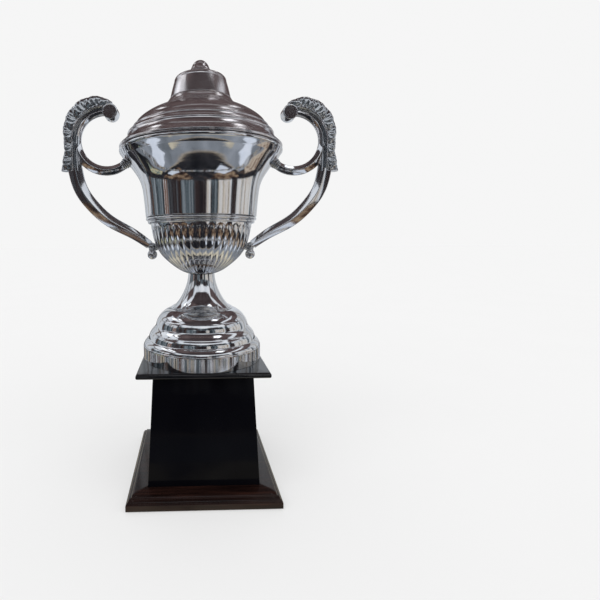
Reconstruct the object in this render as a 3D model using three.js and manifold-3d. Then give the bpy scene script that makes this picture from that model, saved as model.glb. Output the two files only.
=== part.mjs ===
// Cup trophy: a two-handled covered cup, spun and cast in chromed metal, on a tapered plinth.
// Millimetres, +Z up, the plinth's middle at the origin and its feet on z = 0.

import * as THREE from "three";
import { mergeVertices } from "three/addons/utils/BufferGeometryUtils.js";
import Module from "manifold-3d";

const wasm = await Module();
wasm.setup();

// Driving dimensions
const TOTAL_HEIGHT = 740;
const GAP = 0.3; // clearance left between neighbouring pieces
const SHEET = 1.5; // wall of the spun metal shells
const ROUND = 28; // sides of the large turned pieces
const SMALL_ROUND = 12; // sides of rods, screws and washers

const PAD_HEIGHT = 1.2;
const BASE_BOTTOM = PAD_HEIGHT + GAP;
const BASE_HALF = 125.5;
const BASE_TOP = 22;
const BASE_TOP_HALF = 115;
const COLUMN_BOTTOM = BASE_TOP + GAP;
const COLUMN_BOTTOM_HALF = 93;
const COLUMN_TOP = 208.7;
const COLUMN_TOP_HALF = 83;
const PANEL_THICK = 9;
const DECK_BOTTOM = COLUMN_TOP + GAP;
const DECK_TOP = 218;
const DECK_HALF = 108;

const FOOT_BOTTOM = DECK_TOP + GAP;
const FOOT_RADIUS = 106.2;
const FOOT_CROWN = 307.5;
const STEM_BOTTOM = FOOT_CROWN + GAP;
const STEM_TOP = 369.3;
const BOWL_BOTTOM = STEM_TOP + GAP;
const BOWL_RIM = 474;
const BAND_TOP = 469.6;
const BELL_BOTTOM = BAND_TOP + GAP;
const RIM_CENTRE = { x: 138.3, y: 581.7 };
const RIM_BEAD = 4;
const LID_SEAT = RIM_CENTRE.y + RIM_BEAD + GAP;
const NECK_BOTTOM = 672;
const COVER_TOP = NECK_BOTTOM - GAP - 1;
const KNOB_BOTTOM = 718.2;

const ROD_RADIUS = 4;
const ROD_HOLE = ROD_RADIUS + 0.5;
const SCREW_RADIUS = 2;
const SCREW_HOLE = SCREW_RADIUS + 0.5;

// Materials
const paint = (color, roughness, metalness) => ({ color, roughness, metalness });
const CHROME = paint(0xc9ced3, 0.08, 1);
const STEEL = paint(0x8d8f92, 0.4, 1);
const BLACK_GLOSS = paint(0x0b0b0f, 0.12, 0);
const MAHOGANY = paint(0x2a1512, 0.2, 0);
const BARE_WOOD = paint(0xb08a5b, 0.8, 0);
const FELT = paint(0x16241b, 0.95, 0);

const trophy = new THREE.Group();
const lid = new THREE.Group();
trophy.add(lid);

function addPiece(group, name, geometry, look) {
  const mesh = new THREE.Mesh(geometry, new THREE.MeshStandardMaterial(look));
  mesh.name = name;
  group.add(mesh);
  return mesh;
}

// Solids: three.js geometry in, three.js geometry out, with the cuts made in between
function toSolid(geometry) {
  const bare = geometry.clone();
  bare.deleteAttribute("normal");
  bare.deleteAttribute("uv");
  const merged = mergeVertices(bare, 1e-4);
  return new wasm.Manifold(
    new wasm.Mesh({
      numProp: 3,
      vertProperties: Float32Array.from(merged.attributes.position.array),
      triVerts: Uint32Array.from(merged.index.array),
    })
  );
}

function toGeometry(solid) {
  const mesh = solid.getMesh();
  const geometry = new THREE.BufferGeometry();
  geometry.setAttribute("position", new THREE.BufferAttribute(Float32Array.from(mesh.vertProperties), 3));
  geometry.setIndex(new THREE.BufferAttribute(Uint32Array.from(mesh.triVerts), 1));
  geometry.computeVertexNormals();
  return geometry;
}

function cut(geometry, ...tools) {
  return toGeometry(tools.reduce((solid, tool) => solid.subtract(toSolid(tool)), toSolid(geometry)));
}

// Turned pieces. An outline is a list of (radius, height) points going up the outside.
function turned(outline, sides = ROUND) {
  const geometry = new THREE.LatheGeometry(outline, sides);
  geometry.rotateX(Math.PI / 2);
  return geometry;
}

function points(...pairs) {
  return pairs.map(([x, y]) => new THREE.Vector2(x, y));
}

function smooth(divisions, ...pairs) {
  return new THREE.SplineCurve(points(...pairs)).getPoints(divisions);
}

function arc(centreX, centreY, radius, startDegrees, endDegrees, divisions) {
  const start = THREE.MathUtils.degToRad(startDegrees);
  const end = THREE.MathUtils.degToRad(endDegrees);
  const curve = new THREE.EllipseCurve(centreX, centreY, radius, radius, start, end, end < start);
  return curve.getPoints(divisions);
}

// The same outline moved inwards by a wall thickness, mitred at its corners, running back down
function insideOf(outline, thickness) {
  const inner = outline.map((point, i) => {
    const before = outline[Math.max(i - 1, 0)];
    const after = outline[Math.min(i + 1, outline.length - 1)];
    const arriving = point.clone().sub(before).normalize();
    const leaving = after.clone().sub(point).normalize();
    const tangent = arriving.clone().add(leaving).normalize();
    const edge = i === 0 ? leaving : arriving;
    const mitre = thickness / Math.max(tangent.dot(edge), 0.6);
    return new THREE.Vector2(point.x - tangent.y * mitre, point.y + tangent.x * mitre);
  });
  return inner.reverse();
}

function closed(outline) {
  return [...outline, outline[0].clone()];
}

// A cylinder from one point to another
function rodBetween(start, end, radius, sides = SMALL_ROUND) {
  const along = end.clone().sub(start);
  const geometry = new THREE.CylinderGeometry(radius, radius, along.length(), sides);
  geometry.applyQuaternion(
    new THREE.Quaternion().setFromUnitVectors(new THREE.Vector3(0, 1, 0), along.clone().normalize())
  );
  const middle = start.clone().add(end).multiplyScalar(0.5);
  geometry.translate(middle.x, middle.y, middle.z);
  return geometry;
}

function uprightRod(radius, bottom, top, x = 0, y = 0) {
  return rodBetween(new THREE.Vector3(x, y, bottom), new THREE.Vector3(x, y, top), radius);
}

function washer(holeRadius, radius, bottom, top) {
  return turned(
    closed(points([holeRadius, bottom], [radius, bottom], [radius, top], [holeRadius, top])),
    SMALL_ROUND
  );
}

function hexNut(holeRadius, cornerRadius, bottom, top) {
  const outline = new THREE.Shape(arc(0, 0, cornerRadius, 0, 300, 5));
  outline.holes.push(new THREE.Path(arc(0, 0, holeRadius, 0, 330, 11)));
  const geometry = new THREE.ExtrudeGeometry(outline, { depth: top - bottom, bevelEnabled: false });
  geometry.translate(0, 0, bottom);
  return geometry;
}

// Square pieces with a shaped edge: an outline of (half side, height) points turned in four sides
function squareTurned(outline) {
  const cornerRadius = outline.map((point) => new THREE.Vector2(point.x * Math.SQRT2, point.y));
  const geometry = turned(cornerRadius, 4);
  geometry.rotateZ(Math.PI / 4);
  return geometry;
}

// Plinth: moulded base board on felt pads, four mitred column panels and a bullnosed deck

const PAD_PLACE = 104;
const PAD_RADIUS = 11;
const BLOCK_PLACE = 70.5;
const BLOCK_SIDE = 20;
const BLOCK_TOP = COLUMN_BOTTOM + 30;
const SCREW_HEAD_BOTTOM = BASE_BOTTOM + 0.5;
const SCREW_HEAD_TOP = SCREW_HEAD_BOTTOM + 2.5;
const SCREW_HEAD_RADIUS = 4;
const SCREW_TIP = BLOCK_TOP - 10;
const CORNERS = [
  [1, 1],
  [-1, 1],
  [-1, -1],
  [1, -1],
];

function baseBoard() {
  const slabTop = 12.2;
  const middle = 17.2;
  const lowerCurve = middle - slabTop - 0.4;
  const upperCurve = BASE_TOP - middle - 0.6;
  return squareTurned([
    ...points([0, BASE_BOTTOM], [BASE_HALF, BASE_BOTTOM], [BASE_HALF, slabTop]),
    ...arc(BASE_HALF - 5.9, middle - lowerCurve, lowerCurve, 0, 90, 4),
    ...arc(BASE_TOP_HALF - 0.4, BASE_TOP - upperCurve, upperCurve, 0, 90, 4),
    ...points([0, BASE_TOP]),
  ]);
}

const screwHoles = CORNERS.flatMap(([x, y]) => [
  uprightRod(SCREW_RADIUS + GAP, 0, SCREW_TIP + 1, x * BLOCK_PLACE, y * BLOCK_PLACE),
  uprightRod(SCREW_HEAD_RADIUS + GAP, 0, SCREW_HEAD_TOP + GAP, x * BLOCK_PLACE, y * BLOCK_PLACE),
]);
addPiece(trophy, "base_board", cut(baseBoard(), ...screwHoles), MAHOGANY);

CORNERS.forEach(([x, y], i) => {
  const pad = new THREE.CylinderGeometry(PAD_RADIUS, PAD_RADIUS, PAD_HEIGHT, 20);
  pad.rotateX(Math.PI / 2);
  addPiece(trophy, `foot_pad_${i + 1}`, pad, FELT).position.set(x * PAD_PLACE, y * PAD_PLACE, PAD_HEIGHT / 2);

  const screw = turned(
    points(
      [0, SCREW_HEAD_BOTTOM],
      [SCREW_HEAD_RADIUS, SCREW_HEAD_BOTTOM],
      [SCREW_RADIUS, SCREW_HEAD_TOP],
      [SCREW_RADIUS, SCREW_TIP - 4],
      [0, SCREW_TIP]
    ),
    SMALL_ROUND
  );
  addPiece(trophy, `base_screw_${i + 1}`, screw, STEEL).position.set(x * BLOCK_PLACE, y * BLOCK_PLACE, 0);

  const block = new THREE.BoxGeometry(BLOCK_SIDE, BLOCK_SIDE, BLOCK_TOP - COLUMN_BOTTOM);
  block.translate(x * BLOCK_PLACE, y * BLOCK_PLACE, (BLOCK_TOP + COLUMN_BOTTOM) / 2);
  addPiece(trophy, `corner_block_${i + 1}`, cut(block, screwHoles[2 * i]), BARE_WOOD);
});

function columnTube() {
  return squareTurned(
    closed(
      points(
        [COLUMN_BOTTOM_HALF, COLUMN_BOTTOM],
        [COLUMN_TOP_HALF, COLUMN_TOP],
        [COLUMN_TOP_HALF - PANEL_THICK, COLUMN_TOP],
        [COLUMN_BOTTOM_HALF - PANEL_THICK, COLUMN_BOTTOM]
      )
    )
  );
}

["right", "back", "left", "front"].forEach((side, i) => {
  const reach = 2 * COLUMN_BOTTOM_HALF;
  const mitre = GAP / Math.SQRT2;
  const quarter = new THREE.Shape(points([mitre, 0], [reach, -reach + mitre], [reach, reach - mitre]));
  const wedge = new THREE.ExtrudeGeometry(quarter, { depth: DECK_TOP, bevelEnabled: false });
  wedge.rotateZ((i * Math.PI) / 2);
  const panel = toSolid(columnTube()).intersect(toSolid(wedge));
  addPiece(trophy, `column_${side}`, toGeometry(panel), BLACK_GLOSS);
});

function deckBoard() {
  const edge = (DECK_TOP - DECK_BOTTOM) / 2;
  return squareTurned([
    ...points([0, DECK_BOTTOM]),
    ...arc(DECK_HALF - edge, DECK_BOTTOM + edge, edge, -90, 90, 6),
    ...points([0, DECK_TOP]),
  ]);
}
const rodHole = uprightRod(ROD_HOLE, DECK_BOTTOM - 1, DECK_TOP + 1);
addPiece(trophy, "deck_board", cut(deckBoard(), rodHole), BLACK_GLOSS);

// Tie rod: one threaded rod pulls the bowl, stem and foot down onto the deck board

const ROD_BOTTOM = 196;
const ROD_TOP = 385;
const NUT_CORNER = 7.5;
const NUT_HEIGHT = 6.5;
const WASHER_RADIUS = 12;
const WASHER_HEIGHT = 1.8;

addPiece(trophy, "tie_rod", uprightRod(ROD_RADIUS, ROD_BOTTOM, ROD_TOP), STEEL);
const deckWasherBottom = DECK_BOTTOM - GAP - WASHER_HEIGHT;
const deckNutTop = deckWasherBottom - GAP;
const bowlWasherBottom = BOWL_BOTTOM + SHEET + GAP;
const bowlNutBottom = bowlWasherBottom + WASHER_HEIGHT + GAP;
for (const [name, washerBottom, nutBottom] of [
  ["deck", deckWasherBottom, deckNutTop - NUT_HEIGHT],
  ["bowl", bowlWasherBottom, bowlNutBottom],
]) {
  const ring = washer(ROD_HOLE, WASHER_RADIUS, washerBottom, washerBottom + WASHER_HEIGHT);
  addPiece(trophy, `${name}_washer`, ring, STEEL);
  const nut = hexNut(ROD_HOLE, NUT_CORNER, nutBottom, nutBottom + NUT_HEIGHT);
  addPiece(trophy, `${name}_nut`, nut, STEEL);
}

// Foot: spun in three tiers, each a sloping shoulder over a near-upright wall

const footOutline = [
  ...points([FOOT_RADIUS, FOOT_BOTTOM], [FOOT_RADIUS, 240.9]),
  ...points([104.9, 243.9], [96.6, 254]),
  ...smooth(2, [96.2, 255], [94.6, 260.6], [91.4, 266.8]),
  ...points([83.2, 276.4]),
  ...smooth(2, [82.8, 278], [81.1, 284], [78.6, 289.6]),
  ...smooth(3, [77.6, 290.8], [74, 296.2], [67.6, 302.6], [59.5, FOOT_CROWN - 0.6]),
  ...points([42, FOOT_CROWN]),
];
addPiece(trophy, "foot_shell", turned(closed([...footOutline, ...insideOf(footOutline, SHEET)])), CHROME);

// Stem: a hollow trumpet closed at the top, where the rod passes through
const stemOutline = [
  ...points([56, STEM_BOTTOM], [56, STEM_BOTTOM + 1.2]),
  ...smooth(6, [50.2, 310.4], [41.3, 321.4], [33.9, 333.8], [27.8, 348], [24.5, 362], [23.7, STEM_TOP]),
];
const stemInside = [
  ...points([ROD_HOLE, STEM_TOP], [ROD_HOLE, STEM_TOP - 2], [21.8, STEM_TOP - 2]),
  ...smooth(3, [22.3, 360], [31.3, 333.4], [38.5, 322], [48.5, STEM_BOTTOM]),
];
addPiece(trophy, "stem", turned(closed([...stemOutline, ...stemInside]), 24), CHROME);

// Lower bowl: the cup's rounded bottom, its wall running up inside the band and the bell
const bowlOutline = [
  ...points([ROD_HOLE, BOWL_BOTTOM], [25, BOWL_BOTTOM + 0.6]),
  ...smooth(
    6,
    [37, 375.3],
    [53.2, 386.1],
    [65.6, 396.9],
    [75.6, 408.5],
    [81.2, 421.9],
    [85.6, 436.1],
    [89.7, 453.7]
  ),
  ...points([90.6, 460], [90.6, BOWL_RIM]),
];
const bowlWall = turned(closed([...bowlOutline, ...insideOf(bowlOutline, SHEET)]));

// Band: two rolled beads that cover the joint
const bandOutline = [
  ...points([91, 458.2]),
  ...arc(92.4, 461.2, 3, -90, 60, 3),
  ...arc(95.4, 466.6, 3, -60, 90, 3),
  ...points([91, BAND_TOP]),
];
addPiece(trophy, "band_ring", turned(closed(bandOutline)), CHROME);

// Bell: the cup's flared upper body, turned in at the bottom and rolled over at the rim
const bellOutline = [
  ...points([91, BELL_BOTTOM], [98.2, BELL_BOTTOM]),
  ...smooth(7, [98.8, 478], [101.3, 506], [104.8, 524], [111.4, 539.7], [123.6, 555.5], [137, 574.4]),
];
const bellWall = turned(
  closed([
    ...bellOutline,
    ...arc(RIM_CENTRE.x, RIM_CENTRE.y, RIM_BEAD, -50, 150, 5),
    ...insideOf(bellOutline, SHEET),
  ])
);

// Handles: cast scrolls. A handle is drawn in its own plane, x outwards and y up, and is the
// same front and back, so the second one is the first one turned half way round.

const SCROLL = { x: 166.5, y: 603.5, inner: 43, bar: 13, bracket: 16.5 };
const BAR_RIGHT = SCROLL.x + SCROLL.inner + SCROLL.bar;
const SCROLL_BOTTOM = 553;
const ROLL = { x: 156.3, y: 651.5, radius: 13, length: 24 };
const COLLAR_ANGLE = -128;
const COLLAR_LENGTH = 9.6;
const KNUCKLE = { start: 80.9, end: 96, y: 419, radius: 6.8 };
const INSIDE_BOWL = 60; // a radius well inside the bowl's wall at the knuckle's height
const BALL = { x: 88.4, y: 404.4, radius: 8.8 };

// A flat casting with chamfered edges: an outline in the handle's plane, as thick as given
function casting(outline, thickness, chamfer, curveSegments) {
  const geometry = new THREE.ExtrudeGeometry(outline, {
    depth: thickness - 2 * chamfer,
    bevelThickness: chamfer,
    bevelSize: chamfer,
    bevelOffset: -chamfer,
    bevelSegments: 1,
    curveSegments,
  });
  geometry.translate(0, 0, chamfer - thickness / 2);
  geometry.rotateX(Math.PI / 2);
  return geometry;
}

function acrossHandle(x, z, radius, length, sides) {
  return rodBetween(new THREE.Vector3(x, -length / 2, z), new THREE.Vector3(x, length / 2, z), radius, sides);
}

function onScroll(radius, degrees) {
  const angle = THREE.MathUtils.degToRad(degrees);
  return new THREE.Vector2(SCROLL.x + radius * Math.cos(angle), SCROLL.y + radius * Math.sin(angle));
}

// The curl: a bar round the top of the C, then straight down
function scrollBarOutline() {
  const outer = SCROLL.inner + SCROLL.bar;
  return new THREE.Shape([
    ...points([SCROLL.x + SCROLL.inner, SCROLL_BOTTOM], [BAR_RIGHT, SCROLL_BOTTOM]),
    ...arc(SCROLL.x, SCROLL.y, outer, 0, 98, 9),
    ...arc(SCROLL.x, SCROLL.y, SCROLL.inner, 98, 0, 9),
  ]);
}

// The acanthus leaf: wraps the back of the curl and flares to a tip at its foot
function leafOutline() {
  const inner = SCROLL.inner + SCROLL.bar + GAP;
  return new THREE.Shape([
    ...points([SCROLL.x + inner, SCROLL_BOTTOM], [236, SCROLL_BOTTOM], [246, 558.6]),
    ...smooth(3, [241, 572], [238, 590], [239, 612]),
    ...arc(184, 622.5, 55, -4, 104, 9),
    ...arc(SCROLL.x, SCROLL.y, inner, 98, 0, 9),
  ]);
}

// The bracket: the lower part of the C, from the curl to the collar on the bell
function bracketOutline() {
  const outer = SCROLL.inner + SCROLL.bracket;
  const side = SCROLL.inner - GAP;
  const outerStart = THREE.MathUtils.radToDeg(Math.acos(side / outer));
  const innerEnd = 32;
  const shoulder = onScroll(SCROLL.inner, -innerEnd).y;
  return new THREE.Shape([
    ...arc(SCROLL.x, SCROLL.y, outer, -outerStart, COLLAR_ANGLE, 9),
    ...arc(SCROLL.x, SCROLL.y, SCROLL.inner, COLLAR_ANGLE, -innerEnd, 8),
    ...points([SCROLL.x + side, shoulder]),
  ]);
}

// The arm: sweeps from the foot of the curl in to the bowl, narrowing as it goes
function armOutline() {
  const top = SCROLL_BOTTOM - GAP;
  const outerEdge = smooth(9, [234, top], [222, 513], [190, 472], [146, 443], [112, 428], [100, 419.5]);
  const innerEdge = smooth(9, [87, 429], [104, 444], [138, 459.5], [174, 486], [198.5, 519], [208.5, top]);
  return new THREE.Shape([...outerEdge, ...innerEdge]);
}

// The collar: three rings stepping up to the bell, along the bell wall's own normal
const collarStart = onScroll(SCROLL.inner + SCROLL.bracket / 2, COLLAR_ANGLE);
const collarAxis = new THREE.Vector2(0.8, -0.6);
const collarBell = collarStart.clone().addScaledVector(collarAxis, -7.2);
const along = (distance) =>
  new THREE.Vector3(
    collarBell.x + collarAxis.x * distance,
    0,
    collarBell.y + collarAxis.y * distance
  );

function collar() {
  const rings = turned(
    points(
      [0, 0],
      [10, 0],
      [10, 2.4],
      [8.6, 3.2],
      [9.4, 4.2],
      [9.4, 6.2],
      [7.8, 7],
      [7.8, COLLAR_LENGTH],
      [0, COLLAR_LENGTH]
    ),
    18
  );
  const up = new THREE.Vector3(0, 0, 1);
  const direction = new THREE.Vector3(collarAxis.x, 0, collarAxis.y);
  rings.applyQuaternion(new THREE.Quaternion().setFromUnitVectors(up, direction));
  rings.translate(collarBell.x, 0, collarBell.y);
  return rings;
}

// Handle screws: from inside the cup, through its wall and into the casting
function handleScrew(headEnd, direction, length) {
  const reach = (distance) => headEnd.clone().addScaledVector(direction, distance);
  const head = toSolid(rodBetween(headEnd, reach(2.4), 3.6, SMALL_ROUND));
  return toGeometry(head.add(toSolid(rodBetween(reach(1), reach(length), SCREW_RADIUS, SMALL_ROUND))));
}

const upperDirection = new THREE.Vector3(collarAxis.x, 0, collarAxis.y);
const upperHead = along(-5.4);
const lowerDirection = new THREE.Vector3(1, 0, 0);
const lowerHead = new THREE.Vector3(73.8, 0, KNUCKLE.y);
const HANDLE_SCREW_LENGTH = 14;

function screwBore(headEnd, direction) {
  const far = headEnd.clone().addScaledVector(direction, HANDLE_SCREW_LENGTH + 1);
  return rodBetween(headEnd, far, SCREW_RADIUS + GAP, SMALL_ROUND);
}

function knuckleRod(start, end, radius) {
  return rodBetween(new THREE.Vector3(start, 0, KNUCKLE.y), new THREE.Vector3(end, 0, KNUCKLE.y), radius, 16);
}

function ballOf(radius) {
  const sphere = new THREE.SphereGeometry(radius, 16, 9);
  sphere.translate(BALL.x, 0, BALL.y);
  return sphere;
}

const knuckle = knuckleRod(KNUCKLE.start, KNUCKLE.end, KNUCKLE.radius);
const knuckleRoom = knuckleRod(INSIDE_BOWL, KNUCKLE.end + GAP, KNUCKLE.radius + GAP);
const ballRoom = ballOf(BALL.radius + GAP);
const rollRoom = acrossHandle(ROLL.x, ROLL.y, ROLL.radius + GAP, 2 * ROLL.length, 24);
const upperBore = screwBore(upperHead, upperDirection);
const lowerBore = screwBore(lowerHead, lowerDirection);

// The cup as a solid, a hair larger, for cutting the castings back from its wall
const FIT = 1.004;
const bellOutside = turned([
  ...points([0, BELL_BOTTOM]),
  ...bellOutline.slice(1),
  ...points([RIM_CENTRE.x + RIM_BEAD, RIM_CENTRE.y], [0, RIM_CENTRE.y]),
]);
bellOutside.scale(FIT, FIT, 1);
const bowlOutside = turned([...points([0, BOWL_BOTTOM]), ...bowlOutline.slice(1), ...points([0, BOWL_RIM])]);
bowlOutside.scale(FIT, FIT, 1);
const collarSolid = cut(collar(), bellOutside, upperBore);
const collarRoom = rodBetween(along(0), along(COLLAR_LENGTH + GAP), 30, 8);

const handlePieces = [
  ["scroll", cut(casting(scrollBarOutline(), 14, 4, 8), rollRoom), CHROME],
  ["leaf", cut(casting(leafOutline(), 22, 4, 8), rollRoom), CHROME],
  ["roll", acrossHandle(ROLL.x, ROLL.y, ROLL.radius, ROLL.length, 24), CHROME],
  ["bracket", cut(casting(bracketOutline(), 14, 3, 8), collarRoom, upperBore), CHROME],
  ["arm", cut(casting(armOutline(), 15, 5, 8), knuckleRoom), CHROME],
  ["collar", collarSolid, CHROME],
  ["knuckle", cut(knuckle, bowlOutside, ballRoom, lowerBore), CHROME],
  ["ball", ballOf(BALL.radius), CHROME],
  ["upper_screw", handleScrew(upperHead, upperDirection, HANDLE_SCREW_LENGTH), STEEL],
  ["lower_screw", handleScrew(lowerHead, lowerDirection, HANDLE_SCREW_LENGTH), STEEL],
];

["right", "left"].forEach((side, i) => {
  const handle = new THREE.Group();
  handle.rotation.z = i * Math.PI;
  trophy.add(handle);
  for (const [name, geometry, look] of handlePieces) {
    addPiece(handle, `handle_${side}_${name}`, geometry, look);
  }
});

const onBothSides = (tool) => [tool, tool.clone().rotateZ(Math.PI)];
addPiece(trophy, "lower_bowl", cut(bowlWall, ...onBothSides(lowerBore)), CHROME);
addPiece(trophy, "bell", cut(bellWall, ...onBothSides(upperBore)), CHROME);

// Lid: lifts straight off. A spun cover, a band that locates it in the mouth, a neck and a knob
// held by one screw from inside.

const coverOutline = [
  ...points([137.4, LID_SEAT], [141.2, LID_SEAT], [141.8, 587.6], [140.8, 590]),
  ...points([132.6, 598.4]),
  ...smooth(2, [128.2, 603.6], [122.8, 612.9], [119.2, 617.2]),
  ...smooth(5, [117.2, 620.4], [113.4, 626.9], [106.8, 633.9], [97.5, 641.2], [85.2, 648.4], [70, 657]),
  ...points([57, 667], [53, COVER_TOP], [SCREW_HOLE, COVER_TOP]),
];
const cover = turned(closed([...coverOutline, ...insideOf(coverOutline, SHEET)]));
addPiece(lid, "lid_cover", cover, CHROME);

const locatingBand = points([128.6, 573], [130.2, 573], [130.2, 598], [128.6, 598]);
addPiece(lid, "lid_locating_band", turned(closed(locatingBand)), CHROME);

const neckOutline = [
  ...points([53.2, NECK_BOTTOM - 0.4], [52.6, NECK_BOTTOM + 2], [45, 703.6]),
  ...arc(37, 702.4, 8.4, 10, 75, 3),
  ...points([28, KNOB_BOTTOM - 4], [20, KNOB_BOTTOM - GAP], [SCREW_HOLE, KNOB_BOTTOM - GAP]),
];
addPiece(lid, "lid_neck", turned(closed([...neckOutline, ...insideOf(neckOutline, SHEET)]), 24), CHROME);

const SCREW_TOP = TOTAL_HEIGHT - 8;
const knobOutline = [
  ...points([SCREW_HOLE, KNOB_BOTTOM], [21.5, KNOB_BOTTOM], [21.5, KNOB_BOTTOM + 1.8]),
  ...smooth(4, [18.4, 722.5], [15.2, 727.5], [13.6, 731], [9.6, 735.4], [4.2, 738.9]),
  ...points([0, TOTAL_HEIGHT], [0, SCREW_TOP + 1], [SCREW_HOLE, SCREW_TOP + 1]),
];
addPiece(lid, "lid_knob", turned(closed(knobOutline), 20), CHROME);

const lidWasherTop = COVER_TOP - SHEET - GAP;
const lidScrewHeadTop = lidWasherTop - WASHER_HEIGHT - GAP;
addPiece(lid, "lid_washer", washer(SCREW_HOLE, 9, lidWasherTop - WASHER_HEIGHT, lidWasherTop), STEEL);
const lidScrew = points(
  [0, lidScrewHeadTop - 3],
  [4, lidScrewHeadTop - 3],
  [4, lidScrewHeadTop],
  [SCREW_RADIUS, lidScrewHeadTop],
  [SCREW_RADIUS, SCREW_TOP],
  [0, SCREW_TOP]
);
addPiece(lid, "lid_screw", turned(lidScrew, SMALL_ROUND), STEEL);

export default trophy;
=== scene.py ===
"""Cup trophy: a chromed covered cup with two scroll handles, on a black tapered plinth.

Outlines are in millimetres as (across, up) pairs. Each is measured up from the bottom of the
frame's own piece, and a mesh is in metres.
"""

import bmesh
import bpy
import numpy as np
from mathutils import Matrix, Vector


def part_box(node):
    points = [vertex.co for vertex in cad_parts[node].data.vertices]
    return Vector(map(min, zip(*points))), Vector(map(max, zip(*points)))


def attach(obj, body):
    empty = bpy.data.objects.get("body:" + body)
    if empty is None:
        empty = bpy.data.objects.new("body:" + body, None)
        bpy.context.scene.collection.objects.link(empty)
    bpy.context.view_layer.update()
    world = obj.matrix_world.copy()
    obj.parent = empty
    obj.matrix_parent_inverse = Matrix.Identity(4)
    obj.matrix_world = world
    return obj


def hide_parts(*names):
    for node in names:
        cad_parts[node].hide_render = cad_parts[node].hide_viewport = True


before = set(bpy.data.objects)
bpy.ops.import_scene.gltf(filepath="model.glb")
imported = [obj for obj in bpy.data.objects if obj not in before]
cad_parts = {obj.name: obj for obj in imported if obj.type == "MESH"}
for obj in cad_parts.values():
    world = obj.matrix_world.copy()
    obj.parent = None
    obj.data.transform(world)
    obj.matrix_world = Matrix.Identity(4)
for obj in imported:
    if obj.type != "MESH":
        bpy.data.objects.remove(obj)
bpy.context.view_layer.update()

# --- Base board -----------------------------------------------------------------------------
# A square board of dark mahogany with a moulded edge, run on a spindle and mitred by eye at its
# corners, stained almost black-brown and flatted under several coats of gloss lacquer.

MM = 0.001


def arc(across, up, radius, start, end, steps=10):
    """Points on a circle round (across, up), from one angle in degrees to another."""
    turn = np.radians(np.linspace(start, end, steps + 1))
    return np.stack([across + radius * np.cos(turn), up + radius * np.sin(turn)], axis=1)


def outline(*stretches):
    """The stretches of an outline, points or arcs, end to end as one array of points."""
    return np.concatenate([np.reshape(stretch, (-1, 2)) for stretch in stretches]).astype(float)


def mesh_from_grid(name, points, close_rows=False, close_columns=False):
    """A quad mesh over a grid of points. Each point joins the next in its row and column, and
    the last joins the first where that direction closes. Poles and seams are merged after."""
    rows, columns = points.shape[:2]
    row = np.arange(rows if close_rows else rows - 1)[:, None]
    column = np.arange(columns if close_columns else columns - 1)[None, :]
    next_row = (row + 1) % rows
    next_column = (column + 1) % columns
    corners = [(row, column), (next_row, column), (next_row, next_column), (row, next_column)]
    quads = np.stack([r * columns + c for r, c in corners], axis=-1).reshape(-1, 4)
    mesh = bpy.data.meshes.new(name)
    mesh.from_pydata(points.reshape(-1, 3).tolist(), [], quads.tolist())
    tidy = bmesh.new()
    tidy.from_mesh(mesh)
    bmesh.ops.remove_doubles(tidy, verts=tidy.verts, dist=1e-6)
    bmesh.ops.dissolve_degenerate(tidy, edges=tidy.edges, dist=1e-7)
    bmesh.ops.recalc_face_normals(tidy, faces=tidy.faces)
    tidy.to_mesh(mesh)
    tidy.free()
    mesh.shade_smooth()
    mesh.set_sharp_from_angle(angle=np.radians(38))
    return mesh


def add_piece(name, mesh, material, slot, body, *nodes):
    """Puts a mesh in the scene as a piece that rides on a body and stands for CAD nodes."""
    piece = bpy.data.objects.new(name, mesh)
    bpy.context.scene.collection.objects.link(piece)
    mesh.materials.append(material)
    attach(piece, body)
    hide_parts(*nodes)


def square_board(name, profile, bottom, steps=24):
    """A profile carried round a square: each profile point runs along the four sides at its own
    half width, and each side is cut into steps so that the corners stay crisp."""
    side = np.linspace(-1, 1, steps, endpoint=False)
    one = np.ones(steps)
    ring = np.concatenate(
        [
            np.stack([side, -one], axis=1),
            np.stack([one, side], axis=1),
            np.stack([-side, one], axis=1),
            np.stack([-one, -side], axis=1),
        ]
    )
    half = profile[:, 0, None, None] * ring[None]
    height = np.broadcast_to(profile[:, 1, None, None], half.shape[:2] + (1,))
    points = np.concatenate([half, height], axis=2) * MM
    points[..., 2] += bottom
    return mesh_from_grid(name, points, close_columns=True)


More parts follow.
